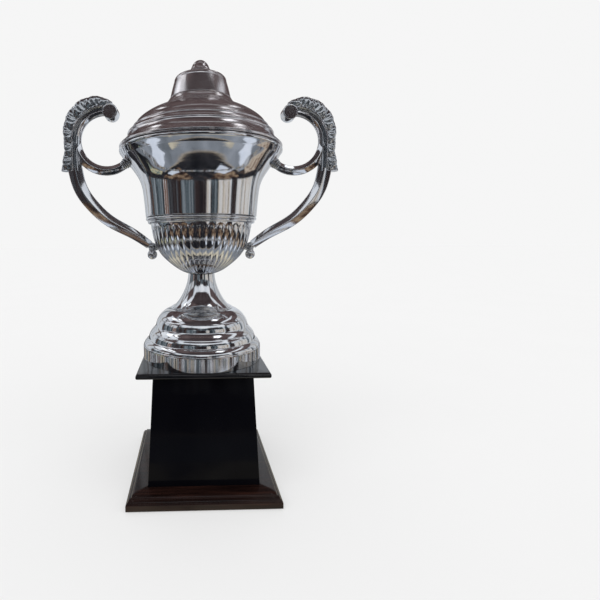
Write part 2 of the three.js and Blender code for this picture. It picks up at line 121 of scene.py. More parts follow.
class Finish:
    """A new node material, and short ways to add its nodes."""

    def __init__(self, name):
        self.material = bpy.data.materials.new(name)
        self.material.use_nodes = True
        self.tree = self.material.node_tree
        self.shader = self.tree.nodes["Principled BSDF"]
        self.place = self.node("ShaderNodeTexCoord").outputs["Object"]

    def node(self, kind, **settings):
        made = self.tree.nodes.new(kind)
        for key, value in settings.items():
            setattr(made, key, value)
        return made

    def link(self, start, end):
        self.tree.links.new(start, end)

    def set(self, **values):
        """Fixed numbers and colours on the shader's own sockets."""
        for key, value in values.items():
            self.shader.inputs[key.replace("_", " ")].default_value = value

    def noise(self, scale, stretch=(1, 1, 1), detail=4, roughness=0.55):
        """Noise over the piece, with its coordinates stretched along each axis."""
        mapping = self.node("ShaderNodeMapping")
        mapping.inputs["Scale"].default_value = stretch
        self.link(self.place, mapping.inputs["Vector"])
        made = self.node("ShaderNodeTexNoise")
        made.inputs["Scale"].default_value = scale
        made.inputs["Detail"].default_value = detail
        made.inputs["Roughness"].default_value = roughness
        self.link(mapping.outputs["Vector"], made.inputs["Vector"])
        return made.outputs["Fac"]

    def ramp(self, value, *stops):
        """A colour ramp: each stop is a place from 0 to 1 and a colour or a grey level."""
        made = self.node("ShaderNodeValToRGB")
        stops_made = made.color_ramp.elements
        while len(stops_made) < len(stops):
            stops_made.new(0.5)
        for stop, (place, colour) in zip(stops_made, stops):
            stop.position = place
            stop.color = (colour,) * 3 + (1,) if np.isscalar(colour) else (*colour, 1)
        self.link(value, made.inputs["Fac"])
        return made.outputs["Color"]

    def bump(self, *layers):
        """Bump layers one over the other, each a height and its depth in metres."""
        below = None
        for height, depth in layers:
            made = self.node("ShaderNodeBump")
            made.inputs["Strength"].default_value = 1
            made.inputs["Distance"].default_value = depth
            self.link(height, made.inputs["Height"])
            if below:
                self.link(below, made.inputs["Normal"])
            below = made.outputs["Normal"]
        self.link(below, self.shader.inputs["Normal"])

    def drive(self, socket, value, *stops):
        """Makes one of the shader's sockets follow a value through a ramp."""
        self.link(self.ramp(value, *stops), self.shader.inputs[socket])


def mahogany():
    """Dark stained mahogany: long grain and fine pores under a clear gloss coat."""
    wood = Finish("mahogany")
    grain = wood.noise(9, (1.2, 16, 16), 6)
    pores = wood.noise(60, (1, 30, 30), 3)
    wood.drive(
        "Base Color",
        grain,
        (0.3, (0.004, 0.0020, 0.0018)),
        (0.52, (0.011, 0.0048, 0.0038)),
        (0.75, (0.026, 0.0100, 0.0070)),
    )
    wood.drive("Roughness", pores, (0.3, 0.24), (0.7, 0.14))
    wood.set(Specular_IOR_Level=0.2, Coat_Weight=0.35, Coat_Roughness=0.06)
    wood.bump((wood.noise(14, (1, 1, 1), 2), 0.00035), (pores, 0.00003))
    return wood.material


base_low, base_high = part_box("base_board")
base_half = base_high.y / MM
base_height = (base_high.z - base_low.z) / MM
base_profile = outline(
    (0, 0),
    (base_half - 1.6, 0),
    arc(base_half - 0.9, 0.9, 0.9, -90, 0, 4),
    arc(base_half - 1.1, 9.6, 1.1, 0, 80, 5),
    (base_half - 1.5, 11.0),
    arc(base_half - 6.6, 10.9, 4.8, 5, 84, 9),
    (base_half - 7.0, 16.0),
    arc(base_half - 11.3, 16.1, 4.0, 3, 86, 9),
    (base_half - 12.2, base_height),
    (0, base_height),
)
add_piece(
    "base_board_moulded",
    square_board("base_board_moulded", base_profile, base_low.z),
    mahogany(),
    "mahogany",
    "trophy",
    "base_board",
)

# --- Felt pads, screws and corner blocks ------------------------------------------------------
# Four dark felt discs stick under the corners. Zinc-plated countersunk screws run up through the
# board into pine blocks glued in the column's corners, which nobody sees once it stands.


def felt():
    """Dark green felt: short fibres with a soft sheen."""
    cloth = Finish("green_felt")
    fibres = cloth.noise(900, (1, 1, 1), 6, 0.7)
    cloth.drive("Base Color", fibres, (0.3, (0.008, 0.016, 0.011)), (0.7, (0.026, 0.045, 0.032)))
    cloth.set(Roughness=0.95, Sheen_Weight=0.5, Sheen_Roughness=0.5)
    cloth.bump((fibres, 0.0004))
    return cloth.material


def zinc_plate():
    """Zinc-plated steel, blue-white with a faint yellow passivation, dulled by handling."""
    plate = Finish("zinc_plated_steel")
    clouds = plate.noise(70, (1, 1, 1), 4)
    plate.drive(
        "Base Color",
        clouds,
        (0.3, (0.42, 0.44, 0.46)),
        (0.6, (0.55, 0.56, 0.56)),
        (0.8, (0.58, 0.54, 0.44)),
    )
    plate.drive("Roughness", clouds, (0.3, 0.28), (0.8, 0.45))
    plate.set(Metallic=1.0)
    plate.bump((plate.noise(900, (1, 1, 6), 2), 0.00004))
    return plate.material


def pine():
    """Sawn pine: pale, with growth rings and a furry cut face."""
    wood = Finish("sawn_pine")
    rings = wood.noise(22, (6, 6, 0.6), 3)
    wood.drive(
        "Base Color",
        rings,
        (0.35, (0.52, 0.36, 0.19)),
        (0.5, (0.62, 0.46, 0.27)),
        (0.62, (0.40, 0.24, 0.11)),
    )
    wood.set(Roughness=0.8)
    wood.bump((wood.noise(500, (1, 1, 0.2), 4), 0.0002))
    return wood.material


def refinish(finish, *nodes):
    """Gives CAD nodes whose shape stays a material of their own."""
    for node in nodes:
        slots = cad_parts[node].data.materials
        slots.clear()
        slots.append(finish)


CORNERS = range(1, 5)
zinc = zinc_plate()
refinish(felt(), *[f"foot_pad_{corner}" for corner in CORNERS])
refinish(zinc, *[f"base_screw_{corner}" for corner in CORNERS])
refinish(pine(), *[f"corner_block_{corner}" for corner in CORNERS])

# --- Column -----------------------------------------------------------------------------------
# Four boards mitred into a tapered box and sprayed with black high-gloss lacquer. The spraying
# leaves a very slight orange-peel ripple, and the edges are eased by sanding.


def black_lacquer(name, gloss):
    """Black gloss lacquer with faint smudges. Gloss sets how strongly it mirrors."""
    lacquer = Finish(name)
    smudges = lacquer.noise(11, (1, 1, 0.6), 5)
    ripple = lacquer.noise(55, (1, 1, 1), 2)
    lacquer.drive(
        "Base Color", smudges, (0.35, (0.0016, 0.0016, 0.0026)), (0.75, (0.0026, 0.0026, 0.0036))
    )
    lacquer.drive("Roughness", smudges, (0.3, 0.07), (0.75, 0.16))
    lacquer.set(Specular_IOR_Level=gloss)
    lacquer.bump((ripple, 0.00006), (lacquer.noise(1500, (1, 1, 1), 1), 0.000003))
    return lacquer.material


COLUMN_GLOSS = 0.09
DECK_GLOSS = 0.9
lacquer = black_lacquer("black_lacquer", COLUMN_GLOSS)
column_low, column_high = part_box("column_right")
column_half = column_high.x / MM
column_height = (column_high.z - column_low.z) / MM
COLUMN_TAPER = 10.0
WALL = 9.0
EASED = 0.5
HALF_GAP = 0.12
PANEL_ROWS = 25


def closed_ends(points):
    """A grid of sections with one more row at each end, drawn together at that end's middle."""
    ends = [np.broadcast_to(points[end].mean(axis=0), points[:1].shape) for end in (0, -1)]
    return np.concatenate([ends[0], points, ends[1]])


def column_panel(name, quarter):
    """A tapered board with mitred sides, turned to its quarter. At each height six points go
    round it: two on the outer face, two on the eased edges and two on the inner face."""
    up = np.linspace(0, 1, PANEL_ROWS)[:, None]
    half = column_half - COLUMN_TAPER * up
    edge = half - HALF_GAP
    inner = half - WALL
    inner_edge = inner - HALF_GAP
    across = np.concatenate(
        [EASED - half, -edge, -inner_edge, inner_edge, edge, half - EASED], axis=1
    )
    out = np.concatenate([half, half - EASED, inner, inner, half - EASED, half], axis=1)
    height = np.broadcast_to(up * column_height, across.shape)
    points = np.stack([out, across, height], axis=2) * MM
    points[..., 2] += column_low.z
    turn = np.array(Matrix.Rotation(np.radians(90 * quarter), 3, "Z"))
    return mesh_from_grid(name, closed_ends(points) @ turn.T, close_columns=True)


for quarter, side in enumerate(("right", "back", "left", "front")):
    name = f"column_{side}_board"
    add_piece(name, column_panel(name, quarter), lacquer, "black_lacquer", "trophy", f"column_{side}")

# --- Deck board -------------------------------------------------------------------------------
# A thin square board with a fully rounded edge, lacquered with the column and glued on its top.
# The cup's tie rod passes down through its middle.

deck_low, deck_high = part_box("deck_board")
deck_half = deck_high.y / MM
deck_height = (deck_high.z - deck_low.z) / MM
ROUND_OVER = 3.6
deck_profile = outline(
    (0, 0),
    arc(deck_half - ROUND_OVER, ROUND_OVER, ROUND_OVER, -90, 0, 9),
    arc(deck_half - ROUND_OVER, deck_height - ROUND_OVER, ROUND_OVER, 0, 90, 9),
    (0, deck_height),
)
add_piece(
    "deck_board_rounded",
    square_board("deck_board_rounded", deck_profile, deck_low.z),
    black_lacquer("deck_lacquer", DECK_GLOSS),
    "black_lacquer",
    "trophy",
    "deck_board",
)

# --- Tie rod, washers and nuts ----------------------------------------------------------------
# One long threaded rod pulls bowl, stem and foot down on the deck board, with a washer and a hex
# nut at each end. Only the upper nut shows, deep in the cup with the lid off.


def threaded_zinc():
    """Zinc plate with a thread: fine rings up the rod, with painted shade that darkens the base colour
    in each groove.
    """
    thread = Finish("threaded_rod")
    rings = thread.node("ShaderNodeTexWave", bands_direction="Z")
    rings.inputs["Scale"].default_value = 125
    rings.inputs["Distortion"].default_value = 0.0
    thread.link(thread.place, rings.inputs["Vector"])
    turns = rings.outputs["Fac"]
    # Painted shade: the base colour is darker where the thread's bump is low, in its grooves.
    thread.drive("Base Color", turns, (0.1, (0.24, 0.24, 0.25)), (0.7, (0.56, 0.57, 0.57)))
    thread.drive("Roughness", thread.noise(80), (0.3, 0.3), (0.7, 0.45))
    thread.set(Metallic=1.0)
    thread.bump((turns, 0.0006))
    return thread.material


refinish(threaded_zinc(), "tie_rod")
refinish(zinc, "deck_washer", "deck_nut", "bowl_washer", "bowl_nut")

# --- Foot -------------------------------------------------------------------------------------
# Spun from one sheet over a wooden chuck in three tiers: each tier is a sloping shoulder, a
# bright rolled edge and a nearly upright wall. Buffed, then chrome plated.

TURN_STEPS = 224


def flowing(count, *knots):
    """A smooth curve through the knots: a natural cubic spline against the chord length, so that
    its bend changes evenly and reflections run over it without a kink."""
    knots = np.array(knots, float)
    step = np.linalg.norm(np.diff(knots, axis=0), axis=1)
    at = np.concatenate([[0], np.cumsum(step)])
    size = len(knots)
    matrix = np.eye(size)
    right = np.zeros_like(knots)
    inside = np.arange(1, size - 1)
    matrix[inside, inside - 1] = step[:-1]
    matrix[inside, inside] = 2 * (step[:-1] + step[1:])
    matrix[inside, inside + 1] = step[1:]
    slope = np.diff(knots, axis=0) / step[:, None]
    right[inside] = 6 * np.diff(slope, axis=0)
    bend = np.linalg.solve(matrix, right)
    where = np.linspace(0, at[-1], count)
    span = np.clip(np.searchsorted(at, where, side="right") - 1, 0, size - 2)
    gap = step[span][:, None]
    before = (at[span + 1] - where)[:, None]
    after = (where - at[span])[:, None]
    return (
        (bend[span] * before**3 + bend[span + 1] * after**3) / (6 * gap)
        + (knots[span] / gap - bend[span] * gap / 6) * before
        + (knots[span + 1] / gap - bend[span + 1] * gap / 6) * after
    )


def turned_mesh(name, profile, bottom, steps=TURN_STEPS, lobes=None):
    """A profile of (radius, height) turned about the cup's axis. With lobes, the radius also
    changes with the angle, by what that function gives for the whole grid."""
    angle = np.linspace(0, 2 * np.pi, steps, endpoint=False)
    radius = np.broadcast_to(profile[:, 0, None], (len(profile), steps)).copy()
    height = np.broadcast_to(profile[:, 1, None], radius.shape)
    if lobes is not None:
        radius += lobes(radius, height, angle[None, :])
    points = np.stack([radius * np.cos(angle), radius * np.sin(angle), height], axis=2) * MM
    points[..., 2] += bottom
    closed = not np.isclose(profile[0, 0], 0)
    return mesh_from_grid(name, points, close_rows=closed, close_columns=True)


def chrome(name, tint=(0.80, 0.81, 0.83), dull=0.045, spun=0.0, wave=0.00010):
    """Bright chrome plate: faint smears where it was wiped, a slow wave, tiny pits, and fine
    rings under the plating, which the tool left deeper on spun pieces."""
    plate = Finish(name)
    smears = plate.noise(16, (1, 1, 0.5), 6, 0.6)
    deep = tuple(0.90 * part for part in tint)
    plate.drive("Base Color", smears, (0.3, deep), (0.65, tint))
    plate.drive("Roughness", smears, (0.35, dull), (0.72, dull * 2.4))
    plate.set(Metallic=1.0)
    pits = plate.noise(2600, (1, 1, 1), 1)
    rings = plate.noise(1.0, (3, 3, 1500), 2)
    ripple = plate.noise(26, (1, 1, 1), 1)
    plate.bump((ripple, wave), (rings, 0.000012 + spun), (pits, 0.000002))
    return plate.material


def bottom_of(node):
    """The height of the lowest point of a CAD piece, in metres."""
    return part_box(node)[0].z


spun_chrome = chrome("spun_chrome", spun=0.00001)
foot_profile = outline(
    (104.7, 0),
    (106.2, 0),
    (106.2, 22.0),
    arc(103.6, 23.2, 2.6, 0, 50, 8),
    flowing(10, (105.3, 25.6), (103.9, 29.0), (101.4, 32.2), (98.6, 34.6), (96.9, 35.8)),
    flowing(12, (96.6, 36.6), (96.0, 39.8), (94.6, 44.0), (92.4, 47.8)),
    arc(90.3, 47.2, 2.2, 24, 60, 6),
    flowing(9, (91.1, 49.5), (88.0, 53.2), (85.1, 56.2), (83.6, 58.6)),
    flowing(14, (83.3, 59.6), (82.7, 62.8), (81.4, 67.2), (79.8, 70.8)),
    arc(77.5, 70.2, 2.3, 22, 54, 6),
    flowing(22, (78.4, 72.6), (75.7, 76.8), (71.0, 81.6), (65.2, 85.8), (60.0, 88.2), (56.6, 89.1)),
    (56.0, 89.3),
    (42, 89.3),
    (42, 87.8),
    (57, 87.4),
    (76, 73.5),
    (81.2, 59.5),
    (90, 47.5),
    (94.8, 35.8),
    (103.2, 25),
    (104.7, 22),
)
foot = turned_mesh("foot_spun", foot_profile, bottom_of("foot_shell"))
add_piece("foot_spun", foot, spun_chrome, "chrome", "trophy", "foot_shell")

# --- Stem -------------------------------------------------------------------------------------
# A spun trumpet that flares down on to the foot and stands on it with a thin turned flange. It
# is closed at the top, where the bowl rests and the tie rod passes.

ROD_HOLE = 4.5
stem_height = (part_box("stem")[1].z - bottom_of("stem")) / MM
stem_profile = outline(
    (48.5, 0),
    arc(55.0, 0.9, 0.9, -90, 90, 8),
    (52.6, 1.9),
    arc(52.4, 2.7, 0.8, -80, 70, 6),
    flowing(
        40,
        *[(50.8, 3.2), (45.8, 8.0), (41.3, 13.6), (37.4, 19.6), (33.9, 26.0), (30.6, 33.0)],
        *[(27.8, 40.4), (25.6, 48.2), (24.4, 55), (23.7, stem_height)],
    ),
    (ROD_HOLE, stem_height),
    (ROD_HOLE, stem_height - 2),
    (21.8, stem_height - 2),
    flowing(12, (22.3, 52.2), (25.8, 40), (31.3, 25.6), (38.5, 14), (48.5, 0)),
)
stem = turned_mesh("stem_spun", stem_profile, bottom_of("stem"), steps=160)
add_piece("stem_spun", stem, spun_chrome, "chrome", "trophy", "stem")

# --- Lower bowl -------------------------------------------------------------------------------
# The cup's rounded bottom, pressed with thirty-eight upright gadroons: convex lobes with sharp
# valleys that start in arches under the band and die away where the bowl meets the stem.

GADROONS = 38
GADROON_DEPTH = 1.3
GADROON_STEPS = 16
LOBE_SET_BACK = 0.3
ARCH_TOP = 87.5
ARCH_RISE = 6.5
ARCH_SOFTNESS = 4.5
FADE_FROM = 20
FADE_OVER = 40


def gadroons(radius, height, angle):
    """Across each lobe the wall falls away as 0.8 u**2 + 0.2 u**6, where u runs from -1 to 1
    between valleys. The lobe ends in an arch at the top, and its depth fades towards the bottom of
    the bowl. Two sines shift the angle a little, as pressed lobes are never quite even."""
    uneven = angle + 0.006 * np.sin(5 * angle) + 0.004 * np.sin(13 * angle)
    across = (uneven * GADROONS / (2 * np.pi)) % 1 * 2 - 1
    valley = 0.8 * across**2 + 0.2 * across**6
    arch = ARCH_TOP - ARCH_RISE * across**2
    under = np.clip((arch - height) / ARCH_SOFTNESS, 0, 1)
    fade = np.clip((radius - FADE_FROM) / FADE_OVER, 0, 1) ** 0.7
    return -(GADROON_DEPTH * valley + LOBE_SET_BACK) * np.sin(under * np.pi / 2) * fade


def outer_wall_only(lobes, rows):
    """The same lobes on the first rows of a profile, and none on the rest of it."""

    def limited(radius, height, angle):
        change = lobes(radius, height, angle)
        change[rows:] = 0
        return change

    return limited


bowl_outside = outline(
    (ROD_HOLE, 0),
    (20, 0),
    flowing(
        96,
        *[(24, 0.5), (36.5, 5.4), (45.9, 11.2), (59.8, 22), (70.9, 33)],
        *[(79.0, 45.2), (84.5, 59.4), (87.9, 73.5), (90.2, 90)],
    ),
)
bowl_inside = outline(
    (90.5, 104.4),
    (89.1, 104.4),
    flowing(
        24,
        *[(88.6, 88), (85.4, 72), (81.4, 58), (75.8, 44.5)],
        *[(68, 32.5), (56, 20.5), (42, 11), (26, 2.6)],
    ),
    (ROD_HOLE, 1.5),
)
lower_bowl = turned_mesh(
    "lower_bowl_gadrooned",
    outline(bowl_outside, bowl_inside),
    bottom_of("lower_bowl"),
    GADROONS * GADROON_STEPS,
    outer_wall_only(gadroons, len(bowl_outside)),
)
add_piece(
    "lower_bowl_gadrooned", lower_bowl, chrome("pressed_chrome"), "chrome", "trophy", "lower_bowl"
)

# --- Band -------------------------------------------------------------------------------------
# Two half-round beads rolled in one strip, soldered over the joint of the bowl and the bell.

band_profile = outline(
    (91, 0),
    arc(92.6, 3.0, 2.7, -90, 55, 12),
    (94.9, 5.6),
    arc(95.6, 8.3, 2.8, -58, 90, 14),
    (91, 11.4),
)
band = turned_mesh("band_beads", band_profile, bottom_of("band_ring"))
add_piece("band_beads", band, spun_chrome, "chrome", "trophy", "band_ring")

# --- Bell -------------------------------------------------------------------------------------
# The upper body, spun from one disc: almost straight above the band, then a short turn into a
# wide flare, and the rim rolled over a wire. Its inside is bright too and shows with the lid off.

RIM_BEAD = 3.9
bell_profile = outline(
    (91, 0),
    arc(97.6, 0.8, 0.8, -90, 0, 4),
    flowing(
        90,
        *[(98.5, 1.4), (99.5, 14), (100.6, 27), (102.0, 40), (103.9, 51.5)],
        *[(107.0, 61.4), (111.4, 70.2), (117.8, 79.8), (126.2, 90.8), (136.0, 101.2)],
    ),
    arc(138.3, 111.8, RIM_BEAD, -62, 158, 26),
    flowing(
        40,
        *[(134.2, 106.6), (125.0, 92.0), (116.4, 80.8), (109.8, 70.6), (105.4, 61.4)],
        *[(102.3, 51.5), (100.5, 40), (98.0, 14), (97.0, 1.8)],
    ),
    (91, 1.5),
)
bell = turned_mesh("bell_spun", bell_profile, bottom_of("bell"))
add_piece("bell_spun", bell, spun_chrome, "chrome", "trophy", "bell")

# --- Handles: scroll, bracket and arm ---------------------------------------------------------
# Each handle is built up from castings with a ridge down the middle of both faces: the curl at
# the top, the bracket that runs to a collar on the bell, and the long arm that sweeps in to the
# bowl. Filed, brazed, polished and plated. The second handle is the first turned half round.

SCROLL = np.array([166.5, 603.5])
SCROLL_INNER = 43.0
BAR = 13.0
BAR_DEPTH = 14
BRACKET = 16.5
BRACKET_POINTS = 60
ARM_POINTS = 80
RIDGE = 0.14
SHOULDER = 0.34
RIDGED = np.array(
    [(-1, -SHOULDER), (-1, SHOULDER), (-RIDGE, 1), (1, SHOULDER), (1, -SHOULDER), (-RIDGE, -1)], float
)


def eased(polygon, ease=0.09, steps=3):
    """A polygon with each corner replaced by a short curve that starts and ends on its sides."""
    before = polygon + (np.roll(polygon, 1, axis=0) - polygon) * ease
    after = polygon + (np.roll(polygon, -1, axis=0) - polygon) * ease
    t = np.linspace(0, 1, steps + 1)[None, :, None]
    return (
        before[:, None] * (1 - t) ** 2 + 2 * polygon[:, None] * t * (1 - t) + after[:, None] * t**2
    ).reshape(-1, 2)


def swept_bar(route, width, depth, section):
    """A section carried along a route in the handle's plane. At each point it is set square to
    the route and scaled to the width and depth there, and both ends are closed to their middle."""
    along = np.gradient(route, axis=0)
    along /= np.linalg.norm(along, axis=1)[:, None]
    out = np.stack([along[:, 1], -along[:, 0]], axis=1)
    reach = section[None, :, 0] * width[:, None] / 2
    flat = route[:, None] + out[:, None] * reach[..., None]
    thick = section[None, :, 1] * depth[:, None] / 2
    return closed_ends(np.stack([flat[..., 0], thick, flat[..., 1]], axis=2))


def both_handles(part, grid, material, node):
    """Adds a handle piece on the right and, turned half way round the cup's axis, on the left."""
    for side, facing in (("right", 1), ("left", -1)):
        turned = grid * MM * np.array([facing, facing, 1])
        name = f"handle_{side}_{part}"
        mesh = mesh_from_grid(name, turned, close_columns=True)
        add_piece(name, mesh, material, "chrome", "trophy", f"handle_{side}_{node}")


cast_chrome = chrome("cast_chrome", dull=0.06)
ridged = eased(RIDGED)
ridged_back = ridged * [-1, 1]
curl_radius = SCROLL_INNER + BAR / 2
curl_route = outline(
    np.stack([np.full(12, SCROLL[0] + curl_radius), np.linspace(551, 599, 12)], axis=1),
    arc(*SCROLL, curl_radius, 0, 103, 47),
)
even = np.ones(len(curl_route))
curl_bar = swept_bar(curl_route, even * BAR, even * BAR_DEPTH, ridged)
both_handles("scroll_bar", curl_bar, cast_chrome, "scroll")

bracket_route = arc(*SCROLL, SCROLL_INNER + BRACKET / 2, -6, -129, BRACKET_POINTS - 1)
run = np.linspace(0, 1, BRACKET_POINTS)
bracket_bar = swept_bar(bracket_route, BRACKET - 2.5 * run**4, BAR_DEPTH - 2.0 * run**2, ridged_back)
both_handles("bracket_bar", bracket_bar, cast_chrome, "bracket")

arm_route = flowing(
    ARM_POINTS, (221.5, 556), (213, 522), (193, 492), (162.5, 464), (122, 441.5), (93, 421.5)
)
taper = np.linspace(0, 1, ARM_POINTS)
arm_bar = swept_bar(arm_route, 25 - 6 * taper - 4 * taper**4, 15.5 - 3.5 * taper, ridged_back)
both_handles("arm_bar", arm_bar, cast_chrome, "arm")

# --- Handles: acanthus leaf -------------------------------------------------------------------
# A thick leaf cast with the curl wraps its back from the roll down to a flared tip. Its lobes
# overlap like scales, with a vein along each, and a plain spine runs beside the bar.

LEAF_LOBES = 7.0
LEAF_ROWS = 260
LEAF_COLUMNS = 72
LEAF_INSIDE = 54.0
STRAIGHT_SHARE = 0.32
STRAIGHT_LENGTH = 52
CURLED_ANGLE = 101
leaf_station = np.linspace(0, 1, LEAF_ROWS)
curled = np.clip((leaf_station - STRAIGHT_SHARE) / (1 - STRAIGHT_SHARE), 0, 1)
leaf_turn = np.radians(curled * CURLED_ANGLE)
leaf_drop = np.clip((STRAIGHT_SHARE - leaf_station) / STRAIGHT_SHARE, 0, 1) * STRAIGHT_LENGTH
leaf_out = np.stack([np.cos(leaf_turn), np.sin(leaf_turn)], axis=1)
leaf_centre = np.stack([np.full(LEAF_ROWS, SCROLL[0]), SCROLL[1] - leaf_drop], axis=1)
leaf_edge = flowing(
    400,
    *[(0, 78.0), (5, 77.3), (16, 73.6), (30, 72.4)],
    *[(48, 77.4), (66, 80.2), (84, 77.2), (100, 67.0)],
)
leaf_reach = np.interp(leaf_station * 100, leaf_edge[:, 0], leaf_edge[:, 1])


def leaf_grid():
    """Round the leaf's section the angle goes from the spine over the front, the outer edge and
    the back. Lobes run slantwise: their height is a rounded saw of station less slant, which
    swells the outer edge and the faces together, and thin veins are cut between them."""
    section = np.linspace(0, 2 * np.pi, LEAF_COLUMNS, endpoint=False)
    across = -np.cos(section)[None, :]
    face = np.sin(section)[None, :]
    station = leaf_station[:, None]
    lobe = (station * LEAF_LOBES - 0.42 * np.abs(across + 0.2) ** 1.3) % 1
    scale = np.sin(np.pi * lobe**0.75) ** 0.8
    vein = np.cos(2 * np.pi * (3 * lobe + 1.4 * across))
    outward = np.clip((across + 1) / 2, 0, 1)
    spine = np.exp(-(((across + 0.62) / 0.13) ** 2))
    relief = 2.6 * scale * outward**0.6 + 0.35 * vein * outward + 1.5 * spine
    far = leaf_reach[:, None]
    middle = (LEAF_INSIDE + far) / 2
    half = (far - LEAF_INSIDE) / 2
    fullness = np.clip((1 - station) / 0.06, 0.25, 1) ** 0.5
    reach = middle + half * np.sign(across) * np.abs(across) ** 0.8
    reach = reach + (relief - 1.6) * outward**3 * 0.5
    thick = np.sign(face) * np.abs(face) ** 0.6 * (7.4 + relief) * fullness
    flat = leaf_centre[:, None] + leaf_out[:, None] * reach[..., None]
    return closed_ends(np.stack([flat[..., 0], thick, flat[..., 1]], axis=2))


def shade_painted_chrome():
    """Chrome over a cast relief, with painted shade: the base colour runs from near black in the hollows
    to bright on the ridges, by the mesh's pointiness.
    """
    plate = Finish("relief_chrome")
    hollows = plate.node("ShaderNodeNewGeometry").outputs["Pointiness"]
    mottle = plate.noise(140, (1, 1, 1), 5)
    # Painted shade: the hollows of the relief, between lobes and rings, get a near-black base colour.
    plate.drive(
        "Base Color",
        hollows,
        (0.44, (0.10, 0.11, 0.12)),
        (0.5, (0.50, 0.52, 0.54)),
        (0.56, (0.84, 0.85, 0.87)),
    )
    plate.drive("Roughness", mottle, (0.3, 0.10), (0.7, 0.26))
    plate.set(Metallic=1.0)
    plate.bump((mottle, 0.0003))
    return plate.material


relief_chrome = shade_painted_chrome()
both_handles("acanthus", leaf_grid(), relief_chrome, "leaf")

# --- Handles: rolls, collars, knuckles and balls ----------------------------------------------
# The curl ends in a solid roll with flat faces, the bracket in a collar of three stepped rings
# on the bell, and the arm in a turned knuckle on the bowl with a ball hanging under it.


def turned_about(start, direction, profile, steps=64):
    """A profile of (radius, distance) turned about a line in the handle's plane, from a start
    point along a direction. Profiles begin and end on the line."""
    along = np.array([direction[0], 0, direction[1]], float)
    along /= np.linalg.norm(along)
    side = np.array([along[2], 0, -along[0]])
    depth = np.array([0, 1.0, 0])
    angle = np.linspace(0, 2 * np.pi, steps, endpoint=False)[None, :, None]
    radius = profile[:, 0, None, None]
    start = np.array([start[0], 0, start[1]], float)
    around = np.cos(angle) * side + np.sin(angle) * depth
    return start + profile[:, 1, None, None] * along + radius * around


roll_low, roll_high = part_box("handle_right_roll")
roll_middle = np.array((roll_low + roll_high) / 2) / MM
ROLL_RADIUS = 12.9
ROLL_STEPS = 72
roll_half = roll_high.y / MM
roll_profile = outline(
    (0, -roll_half + 0.7),
    (10.4, -roll_half + 0.7),
    (10.8, -roll_half),
    arc(ROLL_RADIUS - 1, -roll_half + 1, 1, -90, 0, 6),
    arc(ROLL_RADIUS - 1, roll_half - 1, 1, 0, 90, 6),
    (10.8, roll_half),
    (10.4, roll_half - 0.7),
    (0, roll_half - 0.7),
)
roll_angle = np.linspace(0, 2 * np.pi, ROLL_STEPS, endpoint=False)
roll_grid = np.stack(
    [
        roll_middle[0] + roll_profile[:, 0, None] * np.cos(roll_angle),
        np.broadcast_to(roll_profile[:, 1, None], (len(roll_profile), ROLL_STEPS)),
        roll_middle[2] + roll_profile[:, 0, None] * np.sin(roll_angle),
    ],
    axis=2,
)
both_handles("roll_end", roll_grid, cast_chrome, "roll")

collar_profile = outline(
    (0, -2),
    (9.4, -2),
    arc(9.0, 1.0, 1.2, -60, 90, 8),
    (8.0, 2.8),
    arc(8.2, 4.4, 1.3, -70, 80, 8),
    (7.2, 6.2),
    arc(7.2, 7.7, 1.2, -70, 80, 8),
    (6.4, 9.4),
    arc(5.6, 10.6, 1.2, -60, 60, 6),
    (5.4, 13),
    (0, 13),
)
collar_grid = turned_about((129.6, 567.4), (0.8, -0.6), collar_profile)
both_handles("collar_rings", collar_grid, relief_chrome, "collar")

knuckle_profile = outline(
    (0, -2),
    (7.2, -2),
    arc(6.6, 1.2, 1.2, -60, 80, 8),
    (5.2, 3.0),
    flowing(14, (5.2, 3.4), (6.6, 6.0), (6.9, 9.0), (5.4, 12.6), (3.2, 14.6)),
    (0, 15.2),
)
knuckle_grid = turned_about((80.6, 419), (1, 0), knuckle_profile)
both_handles("knuckle_turned", knuckle_grid, relief_chrome, "knuckle")

ball_low, ball_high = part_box("handle_right_ball")
ball_middle = np.array((ball_low + ball_high) / 2) / MM
ball_profile = outline(
    arc(0, 0, 8.8, -90, 52, 26),
    arc(5.2, 8.6, 1.3, -60, 90, 8),
    (3.6, 10.4),
    (3.6, 15),
    (0, 15),
)
ball_grid = turned_about((ball_middle[0], ball_middle[2]), (0, 1), ball_profile)
both_handles("ball_drop", ball_grid, cast_chrome, "ball")
for side in ("right", "left"):
    refinish(zinc, f"handle_{side}_upper_screw", f"handle_{side}_lower_screw")

# --- Lid: cover and locating band -------------------------------------------------------------
# Spun in one piece: a thin rolled brim on the cup's rim, a hollow sweep up to a bead, a second
# smaller bead, and a full dome. A plain band soldered inside drops into the mouth of the bell.

SCREW_HOLE = 2.5
cover_profile = outline(
    (137.4, 0),
    arc(140.4, 1.2, 1.2, -90, 10, 8),
    arc(139.9, 2.6, 1.9, 0, 62, 8),
    flowing(24, (140.2, 5.0), (136.6, 8.2), (132.2, 12.6), (129.0, 17.2), (127.4, 20.6)),
    arc(124.4, 23.4, 3.1, -14, 100, 14),
    (122.6, 27.6),
    flowing(8, (121.6, 28.6), (120.2, 30.6), (119.2, 32.6)),
    arc(117.2, 34.0, 1.9, -20, 96, 9),
    (115.8, 36.9),
    flowing(
        52,
        *[(115.2, 37.6), (112.4, 42.4), (106.4, 48.6), (97.5, 55.2), (87.4, 61.2)],
        *[(76.4, 66.8), (66.6, 72.6), (59.4, 78.6), (55.8, 83.6)],
    ),
    (54.6, 84.6),
    (SCREW_HOLE, 84.6),
    (SCREW_HOLE, 83.2),
    (53.6, 83.2),
    flowing(24, (57.6, 77.2), (65.4, 70.8), (85.8, 60.4), (104.8, 47.6), (113.0, 37.6)),
    (120.6, 26),
    (126.0, 17.6),
    (131.0, 11.8),
    (137.4, 4.6),
)
